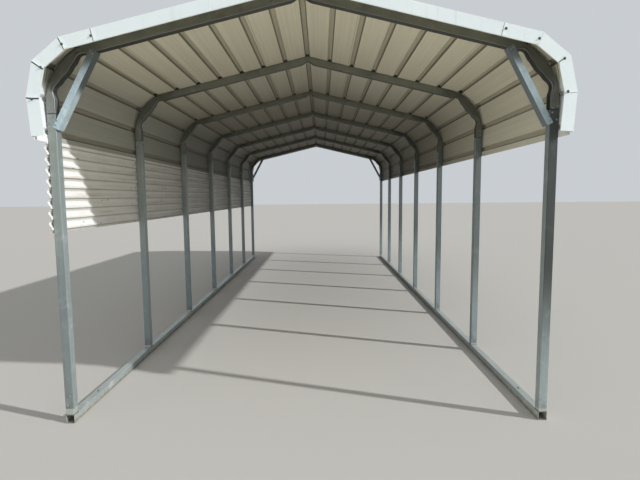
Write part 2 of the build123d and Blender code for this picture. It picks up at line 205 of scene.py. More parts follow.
def galvanised(name, streaks, splash=0.0, soot=0.0, painted_light_factor=(1, 1, 1), inner_shade=0.0, shade_by_place=None):
    """Dull zinc with a faint spangle, drawn streaks along the tube and pale oxide in clouds.

    streaks is the stretch of the drawn streaks, splash how high in metres mud reaches, soot the
    share of dark clouds, and the colour factor makes lighter copies of the zinc for lit pieces and
    darker ones for shaded pieces: painted light and shade. The inward share is painted shade on
    the walls that look inward, with a painted highlight along their front corners, and the last
    argument gives more layers by place, which paint light and shade.
    """
    zinc = Finish(name)
    z = zinc.coordinates()[2]
    spangle = zinc.add("ShaderNodeSeparateColor", None, {0: zinc.cells((85, 85, 85), out="Color")})
    cloud = zinc.noise((3.1, 1.7, 2.3), 4.0)
    drawn = zinc.noise(streaks, 2.0, (3.0, 1.0, 2.0))
    oxide = zinc.noise((14, 9, 11), 5.0, (7.0, 2.0, 5.0), 0.7).ramp(0.52, 0.72)
    tone = (spangle - 0.5) * 0.10 + (cloud - 0.5) * 0.55 + (drawn - 0.5) * 0.55 + 0.5
    # the colour factor makes lighter copies of the zinc for lit pieces and darker ones for shaded
    # pieces: painted light and shade
    low, high, pale = ([c * k for c, k in zip(rgb, painted_light_factor)]
                       for rgb in ((132, 138, 139), (182, 188, 189), (204, 207, 204)))
    layers = [(oxide * 0.35, pale)]
    roughness = spangle * 0.10 + cloud * 0.16 + oxide * 0.12 + 0.36
    metallic = 0.42 - oxide * 0.2
    if splash:
        grime = (zinc.noise((30, 22, 18), 4.0) * 0.9 + 0.1 - z / splash).ramp(0.02, 0.45)
        layers.append((grime * 0.6, (118, 108, 92)))
        roughness = roughness + grime * 0.3
        metallic = metallic - grime * 0.2
    if soot:
        smut = zinc.noise((6, 5, 7), 4.0, (1.0, 4.0, 9.0)).ramp(0.55, 0.75)
        layers.append((smut * soot, (92, 92, 86)))
    # painted shade on the walls that look inward, and a painted highlight along their front corners
    if inner_shade:
        inward = 1 - zinc.outward().ramp(-0.5, -0.1)
        corner = inward * abs(zinc.facing()[1]).band(0.25, 0.50, 0.80, 0.96)
        layers += [(inward * inner_shade, (36, 36, 31)), (corner * 0.85, (170, 172, 166))]
        metallic = metallic - inward * 0.2
    # more layers by place, which paint light and shade
    if shade_by_place:
        layers += shade_by_place(zinc)
    height = drawn * 0.3 + zinc.noise((40, 40, 40), 3.0) * 0.7
    return zinc.skin(zinc.over(zinc.tones(tone, low, high), *layers),
                     roughness, metallic, height, 0.0006, 0.35)


def dress(names, material):
    """Gives CAD pieces their finish."""
    for name in names:
        nodes[name].data.materials.clear()
        nodes[name].data.materials.append(material)


# the rails get a lighter copy of the zinc: painted light
rail_zinc = galvanised("rail_zinc", (160, 4, 160), splash=0.06, painted_light_factor=(1.11, 1.12, 1.10))
dress(("base_rail_left", "base_rail_right"), rail_zinc)


def in_scene(name, data):
    """A new object in the scene, from a mesh, a light or a camera."""
    thing = bpy.data.objects.new(name, data)
    bpy.context.scene.collection.objects.link(thing)
    return thing


def placed(name, mesh):
    """A finished mesh as a piece that rides on the carport."""
    piece = in_scene(name, mesh)
    mesh.name = name
    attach(piece, "root")
    return piece


def plain_mesh(piece):
    """What a piece's modifiers make of it, as a plain mesh; the piece itself goes."""
    bpy.context.view_layer.update()
    finished = piece.evaluated_get(bpy.context.evaluated_depsgraph_get())
    mesh = bpy.data.meshes.new_from_object(finished)
    bpy.data.objects.remove(piece)
    return mesh


def grown(name, start, tree, values):
    """Runs a geometry tree on a start mesh and keeps the result as a piece."""
    seed = in_scene(name + "_start", start)
    modifier = seed.modifiers.new("grow", "NODES")
    modifier.node_group = tree
    for item in tree.interface.items_tree:
        if item.item_type == "SOCKET" and item.in_out == "INPUT" and item.name in values:
            modifier[item.identifier] = values[item.name]
    placed(name, plain_mesh(seed))


def geometry_tree(name, inputs):
    """An empty geometry tree with named inputs, its board and the wires of its inputs."""
    tree = bpy.data.node_groups.new(name, "GeometryNodeTree")
    tree.interface.new_socket("Geometry", in_out="INPUT", socket_type="NodeSocketGeometry")
    for label, kind in inputs.items():
        tree.interface.new_socket(label, in_out="INPUT", socket_type=kind)
    tree.interface.new_socket("Geometry", in_out="OUTPUT", socket_type="NodeSocketGeometry")
    board = Board(tree)
    wires = board.add("NodeGroupInput", out=range(len(inputs) + 1))
    return tree, board, dict(zip(("Geometry", *inputs), wires))


def rounded_square(size, corner, steps=4):
    """Outline of a square tube with round corners, as points in a plane."""
    points = []
    for quarter in range(4):
        turn = math.pi / 2 * quarter
        cx = (size / 2 - corner) * math.sqrt(2) * math.cos(turn + math.pi / 4)
        cy = (size / 2 - corner) * math.sqrt(2) * math.sin(turn + math.pi / 4)
        for i in range(steps + 1):
            angle = turn + math.pi / 2 * i / steps
            points.append((cx + corner * math.cos(angle), cy + corner * math.sin(angle)))
    return points


# the weld round the foot of each stub, laid as small overlapping drops
weld_tree, board, entry = geometry_tree("weld_bead", {
    "Bead Radius": "NodeSocketFloat", "Bead Pitch": "NodeSocketFloat",
    "Material": "NodeSocketMaterial"})
path = board.add("GeometryNodeMeshToCurve", None, {"Mesh": entry["Geometry"]})
path = board.add("GeometryNodeResampleCurve", {"mode": "LENGTH"},
                 {"Curve": path, "Length": entry["Bead Pitch"]})
drop = board.add("GeometryNodeMeshIcoSphere", None,
                 {"Radius": entry["Bead Radius"], "Subdivisions": 2})
size = board.add("FunctionNodeRandomValue", {"data_type": "FLOAT"},
                 {2: 0.75, 3: 1.25, "Seed": 4}, out=1)
turn = board.add("FunctionNodeRandomValue", {"data_type": "FLOAT_VECTOR"},
                 {0: (0, 0, 0), 1: (6, 6, 6), "Seed": 9})
drops = board.add("GeometryNodeInstanceOnPoints", None,
                  {"Points": path, "Instance": drop, "Rotation": turn, "Scale": size})
drops = board.add("GeometryNodeRealizeInstances", None, {"Geometry": drops})
drops = board.add("GeometryNodeSetShadeSmooth", None, {"Geometry": drops})
drops = board.add("GeometryNodeSetMaterial", None,
                  {"Geometry": drops, "Material": entry["Material"]})
board.add("NodeGroupOutput", None, {0: drops})

burnt = Finish("weld_metal")
rust = burnt.noise((120, 120, 120), 4.0).ramp(0.38, 0.62)
weld_metal = burnt.skin(burnt.tones(rust, (124, 124, 120), (122, 100, 78)),
                        rust * 0.3 + 0.45, 0.55 - rust * 0.5, rust, 0.0008, 0.6)
BEAD_RADIUS = 0.0034
BEAD_PITCH = 0.0044
WELD_SIZE = STUB + 0.003
WELD_CORNER = TUBE_CORNER - 0.001
WELD_Z = TUBE + 0.0008
corners, edges = [], []
for x in (-POST_X, POST_X):
    for y in FRAME_Y:
        first = len(corners)
        ring = rounded_square(WELD_SIZE, WELD_CORNER)
        corners += [(x + px, y + py, WELD_Z) for px, py in ring]
        edges += [(first + i, first + (i + 1) % len(ring)) for i in range(len(ring))]
outline = bpy.data.meshes.new("stub_outlines")
outline.from_pydata(corners, edges, [])
grown("stub_welds", outline, weld_tree,
      {"Bead Radius": BEAD_RADIUS, "Bead Pitch": BEAD_PITCH, "Material": weld_metal})

# Posts: fourteen lengths of the same galvanised square tube, seven a side. Each slips over a
# stub of the rail and is held to it by self-drilling screws with hexagon washer heads.
POST_NAMES = [f"post_{side}_{i}" for side in ("left", "right") for i in range(1, 8)]
# the colour of the painted shade on the zinc
PAINTED_SHADE = (52, 55, 52)


def painted_post_shade(zinc):
    """Painted shade on the faces of the posts that look forward, low on the left and high on the
    right, and painted warm bounce light on them high on the left."""
    x, y, z = zinc.coordinates()
    right = x > 0.0
    ahead = zinc.facing()[1] < -0.5
    high = right * z.ramp(0.3, 1.2) * (0.88 - y.ramp(-4.5, -4.0) * 0.30)
    low = (1 - right) * (1 - z.ramp(0.8, 2.0)) * 0.34
    warm_bounce = (1 - right) * z.ramp(0.9, 2.2) * 0.34
    return (ahead * (high + low), PAINTED_SHADE), (ahead * warm_bounce, (150, 146, 126))


# the posts get a slightly bluer copy of the zinc, with painted shade and painted warm light by
# place
post_zinc = galvanised("post_zinc", (150, 150, 3.2), splash=0.30, painted_light_factor=(0.97, 1.01, 1.02),
                       shade_by_place=painted_post_shade)
dress(POST_NAMES, post_zinc)

screw_tree, board, entry = geometry_tree("hex_screw", {
    "Head Width": "NodeSocketFloat", "Head Height": "NodeSocketFloat",
    "Washer Radius": "NodeSocketFloat", "Washer Height": "NodeSocketFloat",
    "Head Material": "NodeSocketMaterial", "Washer Material": "NodeSocketMaterial"})
HALF_ACROSS_CORNERS = 1 / math.sqrt(3)  # of a hexagon 1 wide across its flats
FLANGE_HEIGHT = 0.0012
HEAD_RISE = 0.0011


def disc(sides, bottom, top, depth, rise=None):
    """A low cone with so many sides, lifted by rise."""
    part = board.add("GeometryNodeMeshCone", None, {
        "Vertices": sides, "Radius Top": top, "Radius Bottom": bottom, "Depth": depth})
    if rise is None:
        return part
    move = board.add("ShaderNodeCombineXYZ", None, {"Z": rise})
    return board.add("GeometryNodeTransform", None, {"Geometry": part, "Translation": move})


head_width, washer_height = entry["Head Width"], entry["Washer Height"]
washer = disc(14, entry["Washer Radius"], entry["Washer Radius"] * 0.9, washer_height)
washer = board.add("GeometryNodeStoreNamedAttribute", {"data_type": "BOOLEAN", "domain": "FACE"},
                   {"Geometry": washer, "Name": "washer", "Value": True})
flange = disc(12, head_width * 0.72, head_width * 0.62, FLANGE_HEIGHT, washer_height)
head = disc(6, head_width * HALF_ACROSS_CORNERS, head_width * HALF_ACROSS_CORNERS * 0.9,
            entry["Head Height"], washer_height + HEAD_RISE)
screw = board.add("GeometryNodeJoinGeometry", None, {"Geometry": [washer, flange, head]})
away = board.add("GeometryNodeInputNamedAttribute", {"data_type": "FLOAT_VECTOR"}, {"Name": "away"})
stand = board.add("FunctionNodeAlignRotationToVector", {"axis": "Z"}, {"Vector": away})
twist = board.add("FunctionNodeRandomValue", {"data_type": "FLOAT"},
                  {2: 0.0, 3: 1.05, "Seed": 3}, out=1)
twist = board.add("FunctionNodeAxisAngleToRotation", None, {"Axis": (0, 0, 1), "Angle": twist})
stand = board.add("FunctionNodeRotateRotation", {"rotation_space": "LOCAL"},
                  {"Rotation": stand, "Rotate By": twist})
screws = board.add("GeometryNodeInstanceOnPoints", None,
                   {"Points": entry["Geometry"], "Instance": screw, "Rotation": stand})
screws = board.add("GeometryNodeRealizeInstances", None, {"Geometry": screws})
screws = board.add("GeometryNodeSetMaterial", None,
                   {"Geometry": screws, "Material": entry["Head Material"]})
chosen = board.add("GeometryNodeInputNamedAttribute", {"data_type": "BOOLEAN"}, {"Name": "washer"})
screws = board.add("GeometryNodeSetMaterial", None, {
    "Geometry": screws, "Selection": chosen, "Material": entry["Washer Material"]})
board.add("NodeGroupOutput", None, {0: screws})


def mottled(name, grain, low, high, roughness, metallic, depth, strength=0.4, uneven=0.0):
    """Finish of a small part: two tones in fine clouds, which also roughen it where uneven."""
    spotted = Finish(name)
    cloud = spotted.noise((grain, grain, grain), 3.0)
    if uneven:
        roughness = cloud * uneven + roughness
    return spotted.skin(spotted.tones(cloud, low, high), roughness, metallic,
                        cloud, depth, strength)


screw_plating = mottled("screw_plating", 90, (122, 130, 137), (168, 178, 186), 0.40, 0.30, 0.0004,
                        uneven=0.25)
screw_seal = mottled("screw_seal", 200, (38, 38, 40), (74, 73, 72), 0.75, 0.0, 0.0005)
HEAD_HEIGHT = 0.0046


def fix_screws(name, spots, width=0.008, washer_radius=0.0062, washer_height=0.0012,
               sealed=False, metal=screw_plating):
    """Screws at (place, direction away from the surface) pairs, as one piece."""
    start = bpy.data.meshes.new(name + "_spots")
    start.from_pydata([tuple(place) for place, _ in spots], [], [])
    away = start.attributes.new("away", "FLOAT_VECTOR", "POINT")
    away.data.foreach_set("vector", [c for _, direction in spots for c in direction])
    grown(name, start, screw_tree, {
        "Head Width": width, "Head Height": HEAD_HEIGHT, "Washer Radius": washer_radius,
        "Washer Height": washer_height, "Head Material": metal,
        "Washer Material": screw_seal if sealed else screw_plating})


BACKWARD = Vector((0, 1, 0))
FORWARD = Vector((0, -1, 0))
# the two screws in a post's end face: height above the foot, and distance from the middle of
# the post towards the right on the left side and towards the left on the right side
FOOT_SCREWS = ((0.070, 0.017), (0.026, -0.013))
FRONT_LEFT_FOOT_SCREWS = ((0.096, 0.009), (0.023, -0.011))
# the screw in a post's inner face: height above the foot, and distance behind the middle
INNER_SCREW_RISE, INNER_SCREW_BACK = 0.055, 0.008
dice = random.Random(11)
spots = []
for name in POST_NAMES:
    low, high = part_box(name)
    cx = middle(name, 0)
    toward_middle = 1 if cx < 0 else -1
    face, y = (BACKWARD, high.y) if name.endswith("_7") else (FORWARD, low.y)
    for rise, aside in FRONT_LEFT_FOOT_SCREWS if name == "post_left_1" else FOOT_SCREWS:
        x = cx + toward_middle * aside + dice.uniform(-0.002, 0.002)
        spots.append((Vector((x, y, low.z + rise)), face))
    place = Vector((cx + toward_middle * TUBE / 2, middle(name, 1) + INNER_SCREW_BACK,
                    low.z + INNER_SCREW_RISE))
    spots.append((place, Vector((toward_middle, 0, 0))))
fix_screws("foot_screws", spots)

# Bows: seven roof frames, each one length of the square tube. The maker bends it at the ridge
# and twice a side by pressing the inner wall in, which leaves a smooth dent at every bend, and
# a narrower tube driven into each leg joins it to the post.
OUTER_X = POST_X + TUBE / 2
INNER_X = POST_X - TUBE / 2
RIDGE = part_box("bow_1")[1].z
ROOF_SLOPE = math.radians(13.4)
DIAGONAL = math.radians(45.3)
DIAGONAL_FLAT = 0.0365
BEND_RADIUS = 0.400
BEND_STEP = math.radians(7.5)
JOINT_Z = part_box("post_right_1")[1].z
SHOULDER_TURN = DIAGONAL - ROOF_SLOPE
EAVE_TURN = math.pi / 2 - DIAGONAL
SHOULDER_TANGENT = BEND_RADIUS * math.tan(SHOULDER_TURN / 2)
EAVE_TANGENT = BEND_RADIUS * math.tan(EAVE_TURN / 2)
SHOULDER_X = OUTER_X - (SHOULDER_TANGENT + DIAGONAL_FLAT + EAVE_TANGENT) * math.cos(DIAGONAL)
SLOPE_RUN = SHOULDER_X / math.cos(ROOF_SLOPE) - SHOULDER_TANGENT
RUN_SHOULDER = SLOPE_RUN + BEND_RADIUS * SHOULDER_TURN / 2
RUN_EAVE = SLOPE_RUN + BEND_RADIUS * SHOULDER_TURN + DIAGONAL_FLAT + BEND_RADIUS * EAVE_TURN / 2
RUN_LEG = RUN_EAVE + BEND_RADIUS * EAVE_TURN / 2


def bow_line(run):
    """Point (x, z) of the bow's outer face and its outward direction, a run from the ridge."""
    side = -1.0 if run < 0 else 1.0
    x, z, angle, left = 0.0, RIDGE, ROOF_SLOPE, abs(run)
    for length, turn in ((SLOPE_RUN, 0.0), (BEND_RADIUS * SHOULDER_TURN, SHOULDER_TURN),
                         (DIAGONAL_FLAT, 0.0), (BEND_RADIUS * EAVE_TURN, EAVE_TURN),
                         (math.inf, 0.0)):
        step = min(left, length)
        if turn:
            sweep = turn * step / length
            x += BEND_RADIUS * (math.sin(angle + sweep) - math.sin(angle))
            z -= BEND_RADIUS * (math.cos(angle) - math.cos(angle + sweep))
            angle += sweep
        else:
            x += step * math.cos(angle)
            z -= step * math.sin(angle)
        left -= step
        if left <= 0:
            break
    return Vector((side * x, z)), Vector((side * math.sin(angle), math.cos(angle)))


PAST_LEG = 2.0  # the last flat goes on well below the leg's end
facets = [0.0]
for start, turn in ((SLOPE_RUN, SHOULDER_TURN), (RUN_LEG - BEND_RADIUS * EAVE_TURN, EAVE_TURN)):
    count = math.ceil(turn / BEND_STEP)
    facets += [start + BEND_RADIUS * turn * i / count for i in range(count + 1)]
facets.append(RUN_LEG + PAST_LEG)


def bow_flats(run):
    """As bow_line, on the short flats in which the tube's outer wall turns."""
    side = -1.0 if run < 0 else 1.0
    a, b = next((a, b) for a, b in zip(facets, facets[1:]) if abs(run) <= b)
    pa, pb = bow_line(a)[0], bow_line(b)[0]
    point = pa.lerp(pb, (abs(run) - a) / (b - a))
    along = (pb - pa).normalized()
    return Vector((side * point.x, point.y)), Vector((side * -along.y, along.x))


# the dents, each as the run to its middle and half its length, and the swell between two dents
EAVE_CRIMP_DROP = 0.040
CRIMPS = ((0.0, 0.095), (RUN_SHOULDER, 0.082), (RUN_EAVE + EAVE_CRIMP_DROP, 0.088))
CRIMP_DEPTH = 0.022
CRIMP_BULGE = 0.0014  # how far the side walls stand out at a dent
CRIMP_CROWN = 0.0026  # how far the middle of the dented wall stays back
CROWN_HALF = 0.012
CRIMP_SOFTENS = 0.007  # how much rounder the inner corners get
SWELL_DEPTH = 0.012
SWELL_HALF = 0.095
SWELL_RUN = (RUN_SHOULDER + RUN_EAVE + EAVE_CRIMP_DROP) / 2
LEG_STOP = 0.0050  # how far above the post the leg ends
LEG_TUCK, LEG_TUCK_RUN = 0.0030, 0.0012  # how far its last ring is drawn in, over what length
SLEEVE_TOP, SLEEVE_DEPTH = 0.001, 0.150  # the driven tube's reach above and below the post's top
CLOSEST_RINGS = 0.0008


def crimp(run):
    """Share of the dent at a run: 0 on the plain tube, 1 in the middle of a bend."""
    share = 0.0
    for centre, half in CRIMPS:
        t = abs(abs(run) - centre) / half
        if t < 1:
            share += 0.5 * (1 + math.cos(math.pi * t))
    return share


def bow_runs(leg_end):
    """Runs at which the bow gets a ring of corners, from the left leg's end to the right's."""
    runs = set(facets[:-1])
    for centre, half in CRIMPS:
        rings = (centre + half * i / 10 for i in range(-10, 11))
        runs.update(run for run in rings if 0 <= run < RUN_LEG)
    runs.update(SWELL_RUN + SWELL_HALF * i / 10 for i in range(-10, 11))
    runs.update((RUN_LEG + 0.02, leg_end - LEG_STOP - LEG_TUCK_RUN, leg_end - LEG_STOP))
    runs = sorted(runs)
    kept = [runs[0]]
    for run in runs[1:]:
        if run - kept[-1] > CLOSEST_RINGS:
            kept.append(run)
    return [-run for run in kept[:0:-1]] + kept


def bow_section(dent, tuck):
    """The tube's outline where the share of a dent is dent, one half and its mirror image.

    Each point is how far across the tube it is, how deep, and from which wall that is told;
    between walls, the depth is a share of the way from the outer to the inner.
    """
    half = TUBE / 2 - tuck
    outer, inner = TUBE_CORNER, TUBE_CORNER + CRIMP_SOFTENS * dent
    turns = [math.pi / 2 * i / 4 for i in range(5)]
    section = [(half - outer + outer * math.sin(a), outer - outer * math.cos(a), "outer")
               for a in turns]
    section.append((half + CRIMP_BULGE * dent, 0.45, "between"))
    section += [(half - inner + inner * math.cos(a), inner - inner * math.sin(a), "inner")
                for a in turns]
    section.append((CROWN_HALF, -CRIMP_CROWN * dent, "inner"))
    return section + [(-across, deep, wall) for across, deep, wall in section[::-1]]


def tube_faces(first, ring, rows):
    """Faces of a closed tube whose corners are rows of so many in a ring, from first on."""
    faces = []
    for row in range(rows - 1):
        for j in range(ring):
            a, b = first + row * ring + j, first + row * ring + (j + 1) % ring
            faces.append((a, a + ring, b + ring, b))
    last = first + (rows - 1) * ring
    faces.append(tuple(range(first, first + ring)))
    faces.append(tuple(range(last, last + ring))[::-1])
    return faces


def bow_mesh():
    """One bow at Y = 0, with the narrower tubes that are driven into its legs."""
    runs = bow_runs(RUN_LEG + bow_line(RUN_LEG)[0].y - JOINT_Z)
    corners = []
    for run in runs:
        point, out = bow_flats(run)
        smooth_point, smooth_out = bow_line(run)
        mitre = 1.0
        if run == 0.0:
            out = smooth_out = Vector((0, 1))
            mitre = math.cos(ROOF_SLOPE)
        dent = crimp(run)
        t = min(1.0, abs(abs(run) - SWELL_RUN) / SWELL_HALF)
        depth = TUBE - CRIMP_DEPTH * dent + SWELL_DEPTH * 0.5 * (1 + math.cos(math.pi * t))
        inner = smooth_point - smooth_out * depth / mitre
        tuck = LEG_TUCK if abs(run) == runs[-1] else 0.0
        for across, deep, wall in bow_section(dent, tuck):
            if wall == "outer":
                p = point - out * (deep + tuck)
            elif wall == "inner":
                p = inner + smooth_out * (deep + tuck)
            else:
                p = point.lerp(inner, deep)
            corners.append((p.x, across, p.y))
    faces = tube_faces(0, len(corners) // len(runs), len(runs))
    plug = rounded_square(STUB, TUBE_CORNER - 0.002, 3)
    for side in (-1, 1):
        faces += tube_faces(len(corners), len(plug), 2)
        for z in (JOINT_Z + SLEEVE_TOP, JOINT_Z - SLEEVE_DEPTH):
            corners += [(side * POST_X + px, py, z) for px, py in plug]
    mesh = bpy.data.meshes.new("bow")
    mesh.from_pydata(corners, [], faces)
    return mesh


def smoothed(mesh, angle=40):
    """Faces outward, soft shading with hard edges past an angle."""
    work = bmesh.new()
    work.from_mesh(mesh)
    bmesh.ops.recalc_face_normals(work, faces=work.faces)
    work.to_mesh(mesh)
    work.free()
    mesh.shade_smooth()
    mesh.set_sharp_from_angle(angle=math.radians(angle))
    return mesh


def even_shading(mesh):
    """Lets flat faces stay flat beside rounded corners, and keeps the result in the mesh."""
    former = in_scene("bow_former", mesh)
    former.modifiers.new("weigh", "WEIGHTED_NORMAL").keep_sharp = True
    return plain_mesh(former)


def painted_bow_shade(zinc):
    """Painted shade on the bows all over but for their left legs, and most round the bends, and
    painted light on the left legs.
    """
    x, y, z = zinc.coordinates()
    lit_left_leg = (x < 0.0) * (1 - z.ramp(2.39, 2.46)) * (1 - (y > -4.0) * 0.35)
    corner = abs(x).ramp(1.30, 1.45) * (abs(zinc.facing()[1]) > 0.5)
    bow_shade = (1 - lit_left_leg) * 0.26 + corner * (z.ramp(2.40, 2.50) * 0.26 + (x > 0.0) * 0.14)
    return (bow_shade, PAINTED_SHADE), (lit_left_leg * 0.55, (142, 146, 148))


# the bows get a darker copy of the zinc, painted shade on their inward walls with a painted
# highlight along the corners, and painted light and shade by place
bow_zinc = galvanised("bow_zinc", (9, 150, 9), soot=0.40, painted_light_factor=(0.89, 0.88, 0.82), inner_shade=0.92,
                      shade_by_place=painted_bow_shade)
pattern = even_shading(smoothed(bow_mesh()))
for i, y in enumerate(FRAME_Y):
    mesh = pattern.copy()
    mesh.transform(Matrix.Translation((0, y, 0)))
    mesh.materials.append(bow_zinc)
    piece = placed(f"bow_tube_{i + 1}", mesh)
    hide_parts(f"bow_{i + 1}")

# the screws of a joint: distance from the post's middle, outward, and height over its top
JOINT_SCREWS = ((-0.017, 0.010), (0.016, 0.022), (-0.017, -0.020), (0.015, -0.070))
FRONT_LEFT_JOINT_SCREWS = ((-0.015, -0.016), (0.018, -0.068))
INNER_SCREW_DROP = 0.04
spots = []
for i, y in enumerate(FRAME_Y):
    last = i == len(FRAME_Y) - 1
    face, plane = (BACKWARD, y + TUBE / 2) if last else (FORWARD, y - TUBE / 2)
    for side in (-1, 1):
        for aside, rise in FRONT_LEFT_JOINT_SCREWS if side < 0 and i == 0 else JOINT_SCREWS:
            z = JOINT_Z + rise + dice.uniform(-0.004, 0.004)
            spots.append((Vector((side * (POST_X + aside), plane, z)), face))
        if i > 0 and not last:
            place = Vector((side * INNER_X, y + dice.uniform(-0.01, 0.01),
                            JOINT_Z - INNER_SCREW_DROP))
            spots.append((place, Vector((-side, 0, 0))))
# the dark washers of the joint screws are painted shadow round their heads
fix_screws("joint_screws", spots, width=0.0095, washer_radius=0.0084,
           washer_height=0.0014, sealed=True)

# Knee braces: four folded channels of galvanised sheet, from post to bow at both ends. Each
# straddles the tubes, and screws through its flanges hold it.
BRACE_ANGLE = math.radians(61.3)
BRACE_DEPTH = 0.045
BRACE_FOOT_IN, BRACE_FOOT_DROP = 0.017, 0.110
FLANGE_OUT = TUBE / 2 + 0.0022  # from the middle of the frame to the outside of a flange


def painted_brace_shade(zinc):
    """Painted shade on the webs of the braces, and on the flanges where they meet the tubes."""
    x, _, z = zinc.coordinates()
    flange = abs(zinc.facing()[1]).ramp(0.3, 0.7)
    right = x > 0.0
    web_shade = right * 0.66 + (1 - right) * z.ramp(2.37, 2.46) * 0.84
    ends = right * (1 - z.ramp(2.26, 2.38)) * 0.30 + z.ramp(2.54, 2.63) * 0.72
    return (((1 - flange) * web_shade + flange * ends, PAINTED_SHADE),)


# the braces get a lighter, bluer copy of the zinc: painted light
brace_zinc = galvanised("brace_zinc", (60, 150, 22), painted_light_factor=(1.24, 1.31, 1.36), shade_by_place=painted_brace_shade)
spots = []
for end, y, face in (("front", FRAME_Y[0], FORWARD), ("back", FRAME_Y[-1], BACKWARD)):
    for side, sign in (("left", -1), ("right", 1)):
        name = f"brace_{end}_{side}"
        dress([name], brace_zinc)
        along = Vector((-sign * math.cos(BRACE_ANGLE), 0, math.sin(BRACE_ANGLE)))
        across = Vector((sign * math.sin(BRACE_ANGLE), 0, math.cos(BRACE_ANGLE)))
        foot = Vector((sign * (INNER_X - BRACE_FOOT_IN), 0, JOINT_Z - BRACE_FOOT_DROP))
        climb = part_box(name)[1].z - foot.z - BRACE_DEPTH * math.cos(BRACE_ANGLE)
        length = climb / math.sin(BRACE_ANGLE)
        # two screws near the foot and two near the head: how far along and how deep
        for run, depth in ((0.020, 0.034), (0.052, 0.037),
                           (length - 0.018, 0.030), (length - 0.022, 0.012)):
            spot = foot + along * run + across * depth
            for out in (face, -face):
                spots.append((Vector((spot.x, y + out.y * FLANGE_OUT, spot.z)), out))
fix_screws("brace_screws", spots)

# Roof sheets: five ribbed sheets of coated steel that run the whole length, the outer ones
# wrapped round the bends by hand. White outside, plain beige backing paint inside.
FRAME_SPACING = FRAME_Y[1] - FRAME_Y[0]
RIB_PITCH = 0.2286
RIB_FOOT = 0.024
REACH = 2.360
folds = [(0.0, Vector((0.0, RIDGE)))]
for length, fall in ((7 * RIB_PITCH + RIB_FOOT, 13.4), (RIB_PITCH, 38.6), (RIB_PITCH, 77.2)):
    run, point = folds[-1]
    tilt = math.radians(fall)
    folds.append((run + length, point + Vector((math.cos(tilt), -math.sin(tilt))) * length))
run, point = folds[-1]
lip_drop = math.sqrt((REACH - run) ** 2 - (point.x - OUTER_X) ** 2)
folds.append((REACH, Vector((OUTER_X, point.y - lip_drop))))


def sheet_line(run):
    """Point (x, z) of the folded sheets' inner face and its outward direction, a run from the
    ridge."""
    side = -1.0 if run < 0 else 1.0
    (a, pa), (_, pb) = next(pair for pair in zip(folds, folds[1:])
                            if abs(run) <= pair[1][0] + 1e-6)
    along = (pb - pa).normalized()
    point = pa + along * (abs(run) - a)
    return Vector((side * point.x, point.y)), Vector((side * -along.y, along.x))


def off_nearest(place, pitch):
    """Distance to the nearest of the lines that stand a pitch apart, the first of them at 0."""
    return ((place / pitch + 0.5) % 1.0 - 0.5) * pitch


